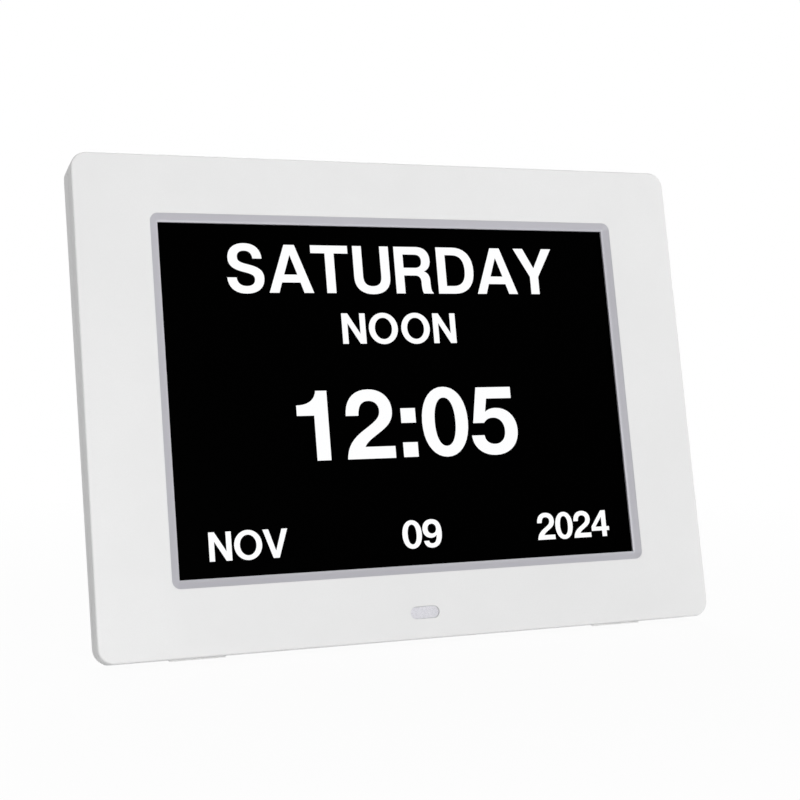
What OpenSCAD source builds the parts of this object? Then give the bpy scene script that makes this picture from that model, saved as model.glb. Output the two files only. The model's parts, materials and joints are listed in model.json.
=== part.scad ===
// Desk clock with a large calendar display: leaning case, fold-out stand and seven rear keys.
// It is drawn lying on its back: X runs to the right, Y up the face and Z out of the face, with the
// middle of the face's lower edge at the origin. A depth d behind the face is therefore Z = -d.
// stand_up() then leans it back on its stand, with the table at Z = 0.

/* [Screen] */
// Width of the visible screen
screen_w = 162; // [154:1:166]
// Height of the visible screen
screen_h = 114.4; // [108:0.2:120]

/* [Case] */
// Width of the face beside the screen's surround
side_border = 24.3; // [23.5:0.1:28]
// Height of the face above the surround
top_border = 19.4; // [18.8:0.1:22]
// Height of the face below the surround
bottom_border = 21.3; // [20.8:0.1:24]
// Radius of the face's corners
corner_r = 6.5; // [5.5:0.5:8]
// Rounding of the front edge
edge_r = 0.6; // [0.3:0.1:1.2]
// Wall thickness of both mouldings
wall = 2; // [1.8:0.1:2.2]
// Depth of the rim at the lower edge, from the face to the flat of the back
rim_depth = 10.4; // [10.2:0.1:11.2]
// Angle by which the rim grows deeper towards the top
rim_taper = 1.9; // [1.5:0.1:2.2]
// Depth at which the bezel ends and the rear cover begins
parting_depth = 5.6; // [4.8:0.1:6.4]
// Shadow gap between the two mouldings
parting_gap = 0.3; // [0.2:0.05:0.5]
// Rounding of the rear edge of the rim
rear_r = 1.5; // [1:0.1:2]
// Angle that the clock leans back
lean = 12.2; // [10:0.2:14]

/* [Screen surround] */
// Width of the sloping surround
slope_w = 2.7; // [2.2:0.1:3.2]
// Depth at the inner edge of the surround
slope_depth = 1.3; // [0.9:0.1:1.5]
// Width of the flatter lip along the screen
lip_w = 0.7; // [0.4:0.1:1]
// Width of the surround's hidden flange
flange_w = 1.5; // [1:0.1:2]
// Thickness of the surround's hidden flange
flange_t = 0.8; // [0.6:0.1:1]

/* [Remote window] */
// Length of the window
window_w = 10.2; // [8:0.2:12]
// Height of the window
window_h = 4; // [3.4:0.1:4.4]
// How far the window is set back from the face
window_inset = 0.5; // [0.2:0.1:0.8]
// Overlap of the window's flange behind the face
window_flange = 1.1; // [0.8:0.1:1.2]

/* [Rear housing] */
// Depth of the whole case
case_depth = 26; // [25.5:0.5:29]
// Margin from the face's sides to the raised housing
box_side = 18; // [15:0.5:20]
// Margin from the face's top and bottom to the raised housing
box_end = 14.25; // [12:0.25:15]
// Corner radius of the raised housing
box_corner_r = 12; // [9:0.5:14]
// Rounding of the housing's back edge
box_round = 6; // [4:0.5:6]
// Distance between the two wall-hanging keyholes
hang_spacing = 124; // [120:1:126]
// Height of the keyholes' round ends above the middle of the main board
hang_rise = 20; // [18:0.5:21]
// Radius of a keyhole's round end
keyhole_r = 4.2; // [3.8:0.1:4.4]
// Half width of a keyhole's slot
keyhole_slot_r = 2.2; // [1.8:0.1:2.4]
// Travel of a keyhole's slot
keyhole_rise = 8; // [6:0.5:9]
// Depth of the closed cup behind a keyhole
cup_depth = 4.5; // [4:0.1:4.8]
// Thickness of ribs, cups and collars inside the mouldings
rib_t = 1.2; // [1:0.1:1.4]
// Depth of the stiffening ribs inside the back
rib_h = 4; // [3:0.5:5]
// Number of vent slots
vent_count = 7; // [4:1:8]
// Length of a vent slot
vent_len = 34; // [24:1:34]
// Width of a vent slot
vent_w = 2; // [1.6:0.1:2.4]
// Spacing of the vent slots
vent_pitch = 4.5; // [4:0.1:5]

/* [Stand] */
// Angle of the opened leg to the back
stand_angle = 28; // [26:0.5:30]
// Height of the stand's hinge above the middle of the main board
hinge_rise = 4; // [0:0.5:5]
// Depth of the recess for the folded leg
recess_depth = 7; // [6.8:0.1:7.5]
// Radius of the steel hinge pin
pin_r = 1.5; // [1.2:0.1:1.7]
// Radial clearance of the leg on its pin
pin_clearance = 0.08; // [0.05:0.01:0.1]
// Radial clearance of the pin in its ears
ear_fit = 0.02; // [0.01:0.01:0.04]
// Radius of the leg's hinge barrel
barrel_r = 3.2; // [3:0.1:3.3]
// Width of the leg's hinge barrel
barrel_w = 36; // [30:1:37]
// Gap between the barrel and the recess floor
barrel_gap = 0.4; // [0.3:0.05:0.5]
// Thickness of the leg
leg_t = 4.2; // [3.8:0.1:4.6]
// Width of the leg at its foot
leg_w = 46; // [44.5:0.5:48]
// Side gap between the folded leg and its recess
leg_side_gap = 2; // [1.6:0.1:2.5]
// Thickness of each hinge ear
ear_t = 4; // [3:0.5:4.5]
// Gap between an ear and the barrel
ear_gap = 0.3; // [0.2:0.05:0.4]
// Gap between the opened leg's heel and its stop
stop_gap = 0.15; // [0.1:0.05:0.25]
// Depth of the pockets in the leg's inner face
leg_pocket = 2.2; // [1.5:0.1:2.5]
// Number of pockets in the leg's inner face
leg_pockets = 3; // [2:1:4]
// Length of the leg's rubber foot along its front
foot_len = 4; // [3.5:0.1:5]

/* [Case feet] */
// Width of a rubber foot under the case
pad_w = 18; // [12:1:24]
// Depth of a rubber foot, front to back
pad_len = 2; // [1.6:0.1:2.4]
// Thickness of a rubber foot
pad_t = 1.2; // [1:0.1:1.4]
// Distance between the middles of the two rubber feet
pad_spacing = 150; // [120:1:170]
// How far the rubber feet stand below the case
pad_proud = 0.2; // [0.15:0.05:0.3]
// Inset of the rubber feet from the back of the rim
pad_inset = 0.6; // [0.4:0.1:0.8]

/* [Keys] */
// Width of a key
key_w = 11; // [9:0.5:12]
// Height of a key
key_h = 6; // [5:0.5:6.5]
// Corner radius of a key
key_r = 2.4; // [1.5:0.1:2.4]
// Spacing of the keys
key_pitch = 16; // [14.8:0.1:16.2]
// Distance of the row of keys from the upper edge
key_drop = 27.5; // [27:0.5:28.5]
// Clearance round a key
key_gap = 0.3; // [0.25:0.05:0.4]
// Overlap of a key's flange behind the wall
key_flange = 1; // [0.8:0.1:1.2]
// Play between a resting key's flange and the wall
key_play = 0.15; // [0.1:0.05:0.25]
// How far the keys stand out of the back
key_proud = 0.2; // [0:0.1:0.4]
// Depth of the shallow strip round the keys
strip_depth = 0.6; // [0.4:0.1:0.7]
// Travel of a key
key_travel = 0.5; // [0.4:0.05:0.6]

/* [Display module] */
// Hidden border of the display at each side
lcd_side = 10.5; // [10:0.1:10.8]
// Hidden border of the display above the screen
lcd_top = 8; // [7:0.1:9]
// Hidden border of the display below the screen
lcd_bottom = 12; // [11.5:0.1:12]
// Thickness of the display module
lcd_t = 5; // [4.6:0.1:5.2]
// Thickness of the glass
glass_t = 1.4; // [1.2:0.1:1.6]
// Thickness of the display's steel frame
lcd_sheet = 0.3; // [0.2:0.05:0.4]
// Thickness of the foam gasket round the screen
gasket_t = 0.3; // [0.2:0.05:0.4]
// Thickness of the steel clips that hold the display
clip_t = 0.8; // [0.6:0.1:0.8]
// Width of a clip
clip_w = 9; // [8:0.5:12]
// Height of the clips above and below the display's centre
clip_spread = 35; // [33.5:0.5:38]

/* [Circuit boards] */
// Thickness of the circuit boards
board_t = 1.6; // [1.2:0.1:1.6]
// Width of the main board
board_w = 143; // [138:1:144]
// Height of the main board
board_h = 68; // [66:0.5:70]
// Height of the main board's middle above the screen's middle
board_rise = 2.8; // [2:0.1:4]
// Length of the posts that carry the main board
board_post = 9.5; // [9.4:0.1:10.2]
// Gap between the main board and the housing's side
board_side_gap = 1; // [0.6:0.1:1.2]
// Width of the board's edge that carries the sockets
port_zone = 37; // [35:0.5:38]
// Distance of the mounting holes from the board's other edges
hole_inset = 5; // [4:0.5:6]
// Height of the key switches with their plungers
switch_h = 5; // [4.3:0.1:5.2]
// Side of a key switch
switch_side = 6; // [5:0.5:6.5]
// Radius of a switch plunger
plunger_r = 1.7; // [1.4:0.1:2]
// Height of a switch plunger above the switch
plunger_h = 1.4; // [1:0.1:1.6]
// Thickness of the flat cables
ribbon_t = 0.3; // [0.2:0.05:0.4]

/* [Sockets] */
// Radius of the power socket's opening
jack_bore_r = 3; // [2.9:0.05:3.2]
// Radius of the power socket's centre pin
jack_pin_r = 1; // [0.9:0.05:1.25]
// Depth of the power socket's opening
jack_bore_depth = 9.5; // [8.5:0.5:10]
// Side of the power socket's body
jack_side = 9; // [8.8:0.1:9.5]
// Length of the power socket with its nose
jack_len = 14; // [13:0.5:15]
// Width of the memory-stick socket
usb_w = 13.2; // [13:0.1:13.4]
// Thickness of the memory-stick socket
usb_t = 5.7; // [5.5:0.1:5.9]
// Width of the card slot
card_w = 27; // [26:0.5:28]
// Thickness of the card slot
card_t = 2.9; // [2.7:0.1:3.2]
// Thickness of the sockets' steel shells
shell_t = 0.3; // [0.25:0.05:0.4]
// Clearance of the sockets in the housing's side
port_gap = 0.3; // [0.2:0.05:0.4]

/* [Loudspeaker] */
// Radius of the loudspeaker
speaker_r = 16; // [14:0.5:16.5]
// Depth of the loudspeaker
speaker_depth = 9.5; // [8:0.5:10]
// Distance of the loudspeaker's middle from the housing's side
speaker_inset = 20.5; // [20.5:0.5:24]
// Height of the loudspeaker
speaker_up = 37; // [36.5:0.5:38]
// Number of rings of grille holes round the middle one
grille_rings = 3; // [2:1:3]
// Spacing of the grille's rings
grille_pitch = 3.7; // [3.4:0.1:4]
// Radius of a grille hole
grille_hole_r = 1.1; // [0.8:0.1:1.3]

/* [Screws] */
// Inset of the cover screws from the case's edges
screw_inset = 10; // [9.5:0.5:10]
// Shank radius of the cover screws
screw_r = 1.3; // [1.1:0.1:1.5]
// Head radius of the cover screws
head_r = 2.6; // [2.3:0.1:2.8]
// Head height of the cover screws
head_h = 1.6; // [1.3:0.1:1.7]
// Length of the cover screws' shanks
screw_len = 5.5; // [5:0.1:5.8]
// Radius of the screw bosses
boss_r = 4; // [3.7:0.1:4.2]
// Shank radius of the small screws inside
small_screw_r = 1; // [0.8:0.1:1.1]
// Head radius of the small screws inside
small_head_r = 1.9; // [1.7:0.1:2.1]
// Head height of the small screws inside
small_head_h = 0.8; // [0.6:0.1:0.8]
// Length of the small screws' shanks
small_screw_len = 4; // [3.5:0.1:4.4]
// Radius of the small bosses
small_boss_r = 2.75; // [2.5:0.05:3]

/* [Hidden] */
$fn = 48;
KEY_NAMES = ["power", "menu", "left", "ok", "right", "down", "up"];

// overshoot of a cut past the face that it goes through
over = 0.5;
// how far ribs, bosses and ears are rooted in the wall that carries them
bite = 0.1;
// slack of a piece that only has to drop into its seat
seat_gap = 0.1;
// radial slack of a screw's shank in the hole that it cuts
thread_fit = 0.02;

// face, screen and display
opening_w = screen_w + 2 * slope_w;
opening_h = screen_h + 2 * slope_w;
face_w = opening_w + 2 * side_border;
face_h = opening_h + top_border + bottom_border;
screen_y = bottom_border + opening_h / 2;
lcd_w = screen_w + 2 * lcd_side;
lcd_h = screen_h + lcd_top + lcd_bottom;
lcd_y = screen_y + (lcd_top - lcd_bottom) / 2;
lcd_front = wall + gasket_t;
lcd_back = lcd_front + lcd_t;
glass_front = lcd_front + lcd_sheet;
glass_back = glass_front + glass_t;

// clips: how far they reach over the display, out to their screws and past them
clip_over = 5;
clip_out = 5.5;
clip_end = 4;
clip_x = lcd_w / 2 + clip_out;

// remote control receiver behind its window
window_flange_t = 1;
window_up = lcd_y - lcd_h / 2 - window_flange - window_h / 2 - 0.4;
post_r = 1.6;
post_x = window_w / 2 + window_flange + post_r + 1.5;
remote_board_front = wall + 4.6;
remote_board_back = remote_board_front + 1;

// rear housing
box_w = face_w - 2 * box_side;
box_h = face_h - 2 * box_end;
box_inside_x = box_w / 2 - wall;
back_inside = case_depth - wall;
cover_front = parting_depth + parting_gap;
strip_floor = case_depth - strip_depth;
cup_w = 2 * keyhole_r + 1.6;
cup_h = keyhole_r + keyhole_rise + keyhole_slot_r + 1.6;

// depth of the rim's tilted flat at a height up the face
function rim_back(up) = rim_depth + up * tan(rim_taper);
// height and depth of the tilted rim in its own frame, see in_rim()
rim_h = face_h * cos(rim_taper);
rim_t = (rim_back(face_h / 2) - cover_front) * cos(rim_taper);
rim_lead = face_h / 2 * sin(rim_taper) + over;
// centre of the rounding at the rim's lower rear edge, which is the lowest part of the case
low_up = face_h / 2 - (rim_h / 2 - rear_r) * cos(rim_taper) - (rim_t - rear_r) * sin(rim_taper);
low_depth = cover_front - (rim_h / 2 - rear_r) * sin(rim_taper) + (rim_t - rear_r) * cos(rim_taper);

// heights that follow the middle of the main board
board_mid = screen_y + board_rise;
hinge_up = board_mid + hinge_rise;
hang_up = board_mid + hang_rise;

// stand
swing = stand_angle - lean;
hinge_depth = case_depth - recess_depth + barrel_gap + barrel_r;
leg_inner = barrel_r - leg_t;
heel_len = (barrel_r + barrel_gap - stop_gap + leg_inner * cos(stand_angle)) / sin(stand_angle);
recess_w = leg_w + 2 * leg_side_gap;
recess_top = hinge_up + norm([heel_len, barrel_r]) + key_gap;
ear_x = barrel_w / 2 + ear_gap;
pin_len = 2 * (ear_x + ear_t);

// how far the table lies below the face's lower edge, and the hinge above the table
ground = low_depth * sin(lean) - low_up * cos(lean) + rear_r + pad_proud;
hinge_height = hinge_up * cos(lean) - hinge_depth * sin(lean) + ground;
hinge_back = hinge_depth * cos(lean) + hinge_up * sin(lean);
// distance along the leg from the hinge to the table, at an offset towards the leg's outer face
function leg_reach(offset) = (hinge_height + offset * sin(swing)) / cos(swing);
leg_end = leg_reach(leg_inner) - foot_len;
foot_back = hinge_back + barrel_r * cos(swing) + leg_reach(barrel_r) * sin(swing);
face_front = edge_r * (cos(lean) + sin(lean) - 1);
middle = (face_front + foot_back) / 2;
pad_back = rim_depth * cos(lean) - pad_inset;

// main board, with its places as shares of its size
board_back = back_inside - board_post;
board_front = board_back - board_t;
board_right = box_inside_x - board_side_gap;
board_left = board_right - board_w;
board_x = board_right - board_w / 2;
board_up = board_mid - board_h / 2;
board_top = board_up + board_h;
connector_w = 36;
connector_t = 1.2;
connector_h = 5;
connector_x = board_x - 0.18 * board_w;
connector_y = board_up + connector_h;
cell_r = 10;
cell_t = 1.6;
cell_front = board_back + 0.4;
cell_x = board_left + 1.25 * cell_r;
chip_side = 14;
can_r = 4;
can_h = board_post - 1;
key_cable_w = 8;
remote_cable_w = 6;

// keys and their board: press_gap is what is left between a key and its switch at full travel
press_gap = 0.05;
stem_r = 1.5;
stem_len = 1.55;
flange_back = back_inside - key_play;
flange_front = flange_back - key_flange;
key_stem_end = flange_front - stem_len;
key_board_back = key_stem_end - press_gap - key_travel - switch_h;
key_board_front = key_board_back - board_t;
key_count = len(KEY_NAMES);
key_up = face_h - key_drop;
key_row = (key_count - 1) * key_pitch + key_w;
key_board_hole = key_row / 2 + key_flange + small_boss_r + 0.4;
key_board_w = 2 * (key_board_hole + 3.5);
key_board_h = 11;

// sockets, spaced evenly up the board: each mouth is set back from the outside of the housing's wall,
// and the power socket's body stops where the housing's back edge starts to round
port_space = (board_h - card_w - usb_w - jack_side) / 4;
jack_y = board_up + port_space + jack_side / 2;
usb_y = jack_y + jack_side / 2 + port_space + usb_w / 2;
card_y = usb_y + usb_w / 2 + port_space + card_w / 2;
rib_up = jack_y + (jack_side + port_space) / 2;
jack_depth = board_back + jack_side / 2;
jack_mouth = box_w / 2 - 1.4;
jack_front = box_w / 2 - box_round;
jack_nose_r = jack_bore_r + 0.8;
usb_mouth = box_w / 2 - 0.4;
usb_len = 14;
card_mouth = box_w / 2 - 1.4;
card_len = 28;

// loudspeaker on one side, vents on the other
speaker_side = box_inside_x - speaker_inset;
vent_side = box_inside_x - vent_len / 2 - 6;
speaker_front = back_inside - speaker_depth;
magnet_r = speaker_r / 2;
magnet_h = 3;
collar_h = 3;

// screws: the cover screws' heads sink just below the rim's flat at the lower edge
cover_screw_x = face_w / 2 - screw_inset;
cover_seat = rim_back(screw_inset) - head_h - 0.2;
cover_boss_end = cover_seat - 1.6;
board_holes = [
    for (x = [board_left + hole_inset, board_right - port_zone])
        for (y = [board_up + hole_inset, board_top - hole_inset]) [x, y]];

// tongue of the leg that holds its rubber foot
foot_tongue_t = 1.8;
foot_tongue_len = 2.6;

// stands the clock on the table, leaning back
module stand_up() translate([0, -middle, ground]) rotate([90 - lean, 0, 0]) children();

// places children in a frame that tilts with the rim's flat: its origin is at the middle of the case,
// where the cover begins, and depths are measured from there
module in_rim() translate([0, face_h / 2, -cover_front]) rotate([-rim_taper, 0, 0]) children();

// places children given as [across, back, up] in the standing clock, before it is centred
module on_table() rotate([lean - 90, 0, 0]) translate([0, 0, -ground]) children();

// an outline extruded between two depths behind the face
module slab(d0, d1) translate([0, 0, -d1]) linear_extrude(d1 - d0) children();

// a rod between two depths
module rod(r, d0, d1) translate([0, 0, -d1]) cylinder(r = r, h = d1 - d0);

// a rectangular block between two depths, centred across and up
module block(w, h, d0, d1) slab(d0, d1) square([w, h], center = true);

module mirrored() for (side = [-1, 1]) scale([side, 1, 1]) children();

// half of an outline's edge in section: r wide, between two depths, with rounded outer corners
module edge_section(r, d0, d1, front_r, back_r) {
    difference() {
        translate([0, -d1]) square([r, d1 - d0]);
        if (front_r > 0) difference() {
            translate([r - front_r, -d0 - front_r]) square(front_r + over);
            translate([r - front_r, -d0 - front_r]) circle(front_r);
        }
        if (back_r > 0) difference() {
            translate([r - back_r, -d1 - over]) square([back_r + over, back_r + over]);
            translate([r - back_r, -d1 + back_r]) circle(back_r);
        }
    }
}

// sweeps a section, drawn as [outward from the corner's centre, -depth], round a rounded rectangle
module around(w, h, r) {
    for (turn = [0 : 3]) {
        across = turn % 2 == 0 ? w / 2 - r : h / 2 - r;
        along = turn % 2 == 0 ? h / 2 - r : w / 2 - r;
        rotate([0, 0, 90 * turn]) translate([across, along, 0]) {
            rotate_extrude(angle = 90) children();
            rotate([90, 0, 0]) linear_extrude(2 * along) children();
        }
    }
}

// a rounded rectangular block with rounded front and back edges
module rounded_block(w, h, r, d0, d1, front_r = 0, back_r = 0) {
    block(w - 2 * r, h - 2 * r, d0, d1);
    around(w, h, r) edge_section(r, d0, d1, front_r, back_r);
}

// a rounded slot outline: len long overall, w wide, along X
module slot_outline(len, w) {
    square([len - w, w], center = true);
    for (end = [-1, 1]) translate([end * (len - w) / 2, 0]) circle(w / 2);
}

// a pan-head screw whose shank points to the front, with the head's underside at depth 0
module screw(shank_r, shank_len, top_r, top_h) {
    cross_w = top_r * 0.36;
    rod(shank_r, -shank_len, 0);
    difference() {
        rotate_extrude() edge_section(top_r, 0, top_h, 0, top_h * 0.6);
        for (turn = [0, 90]) rotate([0, 0, turn])
            block(top_r * 1.3, cross_w, top_h / 2, top_h + over);
    }
}

function unit(v) = v / norm(v);
function left_of(v) = [-v[1], v[0]];

// a flat strip that follows points given as [height, depth] at its middle thickness, with mitred bends
module ribbon(w, points) {
    last = len(points) - 1;
    line = [for (point = points) [point[0], -point[1]]];
    sides = [for (i = [0 : last]) let(
        before = unit(line[max(i, 1)] - line[max(i, 1) - 1]),
        after = unit(line[min(i, last - 1) + 1] - line[min(i, last - 1)]),
        across = left_of(unit(before + after))
    ) across * ribbon_t / 2 / (across * left_of(before))];
    translate([-w / 2, 0, 0]) rotate([90, 0, 90]) linear_extrude(w) polygon(concat(
        [for (i = [0 : last]) line[i] + sides[i]],
        [for (i = [last : -1 : 0]) line[i] - sides[i]]));
}

// a round wire through points given as [across, height, depth]
module wire(r, points) {
    for (i = [0 : len(points) - 2]) {
        step = points[i + 1] - points[i];
        translate([points[i][0], points[i][1], -points[i][2]])
            rotate([0, acos(-step[2] / norm(step)), atan2(step[1], step[0])])
                cylinder(r = r, h = norm(step), $fn = 16);
    }
    for (i = [1 : len(points) - 2])
        translate([points[i][0], points[i][1], -points[i][2]]) sphere(r = r * 1.1, $fn = 16);
}

module at_cover_screws()
    mirrored() for (y = [screw_inset, face_h / 2, face_h - screw_inset])
        translate([cover_screw_x, y, 0]) children();

module at_clips()
    mirrored() for (y = [lcd_y - clip_spread, lcd_y + clip_spread]) translate([0, y, 0]) children();

module at_keys()
    for (i = [0 : key_count - 1])
        translate([(i - (key_count - 1) / 2) * key_pitch, key_up, 0]) children();

module at_board_holes() for (hole = board_holes) translate([hole[0], hole[1], 0]) children();

module at_key_board_holes() mirrored() translate([key_board_hole, key_up, 0]) children();

module at_keyholes() mirrored() translate([hang_spacing / 2, hang_up, 0]) children();

// rubber feet under the case, or the pockets for them when grown by a gap and cut from below
module case_pads(gap = 0, below = 0) {
    on_table() mirrored()
        translate([(pad_spacing - pad_w) / 2 - gap, pad_back - pad_len - gap, -below])
            cube([pad_w + 2 * gap, pad_len + 2 * gap, pad_t + below]);
}

// four corner ribs that hold the display in place
module display_ribs() {
    gap = 0.3;
    rib_len = 20;
    rib_end = lcd_front + 3;
    translate([0, lcd_y, 0]) difference() {
        block(lcd_w + 2 * (gap + rib_t), lcd_h + 2 * (gap + rib_t), wall - bite, rib_end);
        block(lcd_w + 2 * gap, lcd_h + 2 * gap, 0, rib_end + over);
        block(lcd_w - 2 * rib_len, lcd_h + 20, 0, rib_end + over);
        block(lcd_w + 20, lcd_h - 2 * rib_len, 0, rib_end + over);
    }
}

module front_bezel() color("whitesmoke") stand_up() {
    difference() {
        union() {
            difference() {
                translate([0, face_h / 2, 0])
                    rounded_block(face_w, face_h, corner_r, 0, parting_depth, front_r = edge_r);
                translate([0, face_h / 2, 0])
                    rounded_block(face_w - 2 * wall, face_h - 2 * wall, corner_r - wall, wall,
                        parting_depth + over);
            }
            display_ribs();
            at_cover_screws() rod(boss_r, wall - bite, cover_boss_end);
            at_clips() translate([clip_x, 0, 0]) rod(small_boss_r, wall - bite, lcd_back);
            mirrored() translate([post_x, window_up, 0]) rod(post_r, wall - bite, remote_board_front);
        }
        translate([0, screen_y, 0]) rounded_block(opening_w, opening_h, slope_w, -over, wall + over);
        translate([0, screen_y, 0])
            rounded_block(opening_w + 2 * flange_w, opening_h + 2 * flange_w, slope_w + flange_w,
                wall - flange_t, wall + over);
        translate([0, window_up, 0]) slab(-over, wall + over) slot_outline(window_w, window_h);
        at_cover_screws()
            rod(screw_r + thread_fit, cover_seat - screw_len - over, cover_boss_end + over);
        at_clips() translate([clip_x, 0, 0])
            rod(small_screw_r + thread_fit, lcd_back + clip_t - small_screw_len - over, lcd_back + over);
    }
}

// its outer edge stands just below the face, and the lip along the screen is nearly flat
module screen_surround() color("silver") stand_up() {
    outer_step = 0.1;
    lip_rise = 0.15;
    translate([0, screen_y, 0]) around(opening_w, opening_h, slope_w) polygon([
        [0, -wall], [0, -slope_depth], [lip_w, -slope_depth + lip_rise], [slope_w, -outer_step],
        [slope_w, -wall + flange_t], [slope_w + flange_w, -wall + flange_t],
        [slope_w + flange_w, -wall]]);
}

module remote_window() color("gainsboro") stand_up() {
    translate([0, window_up, 0]) {
        slab(window_inset, wall) slot_outline(window_w - 2 * thread_fit, window_h - 2 * thread_fit);
        slab(wall, wall + window_flange_t)
            slot_outline(window_w + 2 * window_flange, window_h + 2 * window_flange);
    }
}

module remote_receiver() color("dimgray") stand_up() {
    receiver_w = 5;
    receiver_h = 5.6;
    lens_r = 1.7;
    lens_h = 1;
    lens_front = wall + window_flange_t + 0.3;
    translate([0, window_up, 0]) {
        block(receiver_w, receiver_h, lens_front + lens_h, remote_board_front);
        intersection() {
            block(receiver_w, receiver_h, lens_front, lens_front + lens_h + over);
            translate([0, 0, -lens_front - lens_r]) sphere(lens_r);
        }
    }
}

module remote_board() color("darkgreen") stand_up() {
    translate([0, window_up, 0])
        block(2 * (post_x + post_r + 1), window_h + 2 * window_flange, remote_board_front,
            remote_board_back);
}

module remote_cable() color("gray") stand_up() {
    start = remote_board_back + ribbon_t / 2;
    finish = board_front - ribbon_t / 2;
    translate([connector_x + connector_w / 2 + remote_cable_w, 0, 0])
        ribbon(remote_cable_w, [[window_up - window_h / 2, start], [board_up - connector_h, start],
            [board_up + connector_h / 2, finish], [board_up + 2 * connector_h, finish]]);
}

module screen_gasket() color("black") stand_up() {
    translate([0, screen_y, 0]) difference() {
        block(opening_w + 8, opening_h + 5, wall, lcd_front);
        block(opening_w, opening_h, wall - over, lcd_front + over);
    }
}

module display_glass() color("black") stand_up() {
    translate([0, lcd_y, 0])
        block(lcd_w - 2 * lcd_sheet, lcd_h - 2 * lcd_sheet, glass_front, glass_back);
}

module display_frame() color("silver") stand_up() {
    border = 1.5;
    difference() {
        translate([0, lcd_y, 0]) block(lcd_w, lcd_h, lcd_front, lcd_back);
        translate([0, lcd_y, 0])
            block(lcd_w - 2 * lcd_sheet, lcd_h - 2 * lcd_sheet, glass_front, lcd_back + over);
        translate([0, screen_y, 0]) block(screen_w + 2 * border, screen_h + 2 * border, 0, lcd_back);
    }
}

module display_backlight() color("white") stand_up() {
    translate([0, lcd_y, 0])
        block(lcd_w - 2 * lcd_sheet, lcd_h - 2 * lcd_sheet, glass_back, lcd_back);
}

module display_cable() color("peru") stand_up() {
    start = lcd_back + ribbon_t / 2;
    finish = board_front - connector_t / 2;
    bottom = lcd_y - lcd_h / 2 + connector_h;
    translate([connector_x, 0, 0])
        ribbon(connector_w - connector_h, [[bottom, start], [board_up - 1.5 * connector_h, start],
            [board_up - 0.4 * connector_h, finish], [connector_y - connector_h / 2, finish]]);
}

module display_connector() color("ivory") stand_up() {
    translate([connector_x, connector_y, 0])
        block(connector_w, connector_h, board_front - connector_t, board_front);
}

module display_clips() color("lightsteelblue") stand_up() {
    clip_len = clip_over + clip_out + clip_end;
    notch = 1;
    difference() {
        at_clips() translate([lcd_w / 2 - clip_over + clip_len / 2, 0, 0])
            slab(lcd_back, lcd_back + clip_t) union() {
                square([clip_len - 2 * notch, clip_w], center = true);
                square([clip_len, clip_w - 2 * notch], center = true);
            }
        at_clips() translate([clip_x, 0, 0])
            rod(small_screw_r + thread_fit, lcd_back - over, lcd_back + clip_t + over);
    }
}

module display_screws() color("silver") stand_up() {
    at_clips() translate([clip_x, 0, -lcd_back - clip_t])
        screw(small_screw_r, small_screw_len, small_head_r, small_head_h);
}

module main_board() color("darkgreen") stand_up() {
    difference() {
        translate([board_x, board_mid, 0]) block(board_w, board_h, board_front, board_back);
        at_board_holes() rod(small_screw_r + thread_fit, board_front - over, board_back + over);
    }
}

// a chip's body, placed by shares of the board's size from its middle
module chip(across, up, w, h, t) {
    translate([board_x + across * board_w, board_mid + up * board_h, 0])
        block(w, h, board_back, board_back + t);
}

module main_chips() color("black") stand_up() {
    thick = chip_side / 10;
    chip(-0.1, 0.03, chip_side, chip_side, thick);
    chip(-0.24, -0.24, 0.6 * chip_side, 0.7 * chip_side, 0.85 * thick);
    chip(0.03, -0.26, 0.85 * chip_side, 0.6 * chip_side, 0.8 * thick);
    chip(0.17, -0.18, 0.35 * chip_side, 0.4 * chip_side, 0.9 * thick);
}

// rows of chip resistors and capacitors, as shares of the main chip's size
module small_components() color("saddlebrown") stand_up() {
    for (column = [0 : 5]) for (row = [0 : 2])
        translate([board_x - 0.19 * board_w + 0.32 * chip_side * column,
            board_mid + 0.24 * board_h + 0.28 * chip_side * row, 0])
                block(chip_side / 7, chip_side / 11, board_back, board_back + chip_side / 20);
}

module capacitors() color("darkslategray") stand_up() {
    for (i = [1 : 3]) translate([board_right - port_zone - 2.75 * can_r * i, board_mid + 5 * can_r, 0])
        rotate_extrude() edge_section(can_r, board_back, board_back + can_h, 0, 0.15 * can_r);
}

module crystal() color("silver") stand_up() {
    translate([board_x - 0.19 * board_w, board_mid + 0.14 * board_h, 0])
        slab(board_back, board_back + chip_side / 8) slot_outline(0.8 * chip_side, 0.33 * chip_side);
}

module coin_cell_holder() color("black") stand_up() {
    holder_wall = 1.4;
    holder_top = cell_front + cell_t + 0.2;
    translate([cell_x, board_mid, 0]) difference() {
        rod(cell_r + holder_wall, board_back, holder_top);
        rod(cell_r + seat_gap, cell_front, holder_top + over);
        translate([0, cell_r, 0]) block(0.8 * cell_r, 0.6 * cell_r, cell_front, holder_top + over);
    }
}

module coin_cell() color("silver") stand_up() {
    edge = cell_t / 8;
    translate([cell_x, board_mid, 0])
        rotate_extrude() edge_section(cell_r, cell_front, cell_front + cell_t, edge, edge);
}

module board_screws() color("silver") stand_up() {
    at_board_holes() translate([0, 0, -board_front]) mirror([0, 0, 1])
        screw(small_screw_r, board_t + small_screw_len, small_head_r, small_head_h);
}

module power_socket() color("black") stand_up() {
    body_start = jack_mouth - jack_len;
    translate([0, jack_y, -jack_depth]) difference() {
        union() {
            translate([body_start, -jack_side / 2, -jack_side / 2])
                cube([jack_front - body_start, jack_side, jack_side]);
            translate([jack_front - bite, 0, 0]) rotate([0, 90, 0])
                cylinder(r = jack_nose_r, h = jack_mouth - jack_front + bite);
        }
        translate([jack_mouth - jack_bore_depth, 0, 0]) rotate([0, 90, 0])
            cylinder(r = jack_bore_r, h = jack_bore_depth + over);
    }
}

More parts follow.
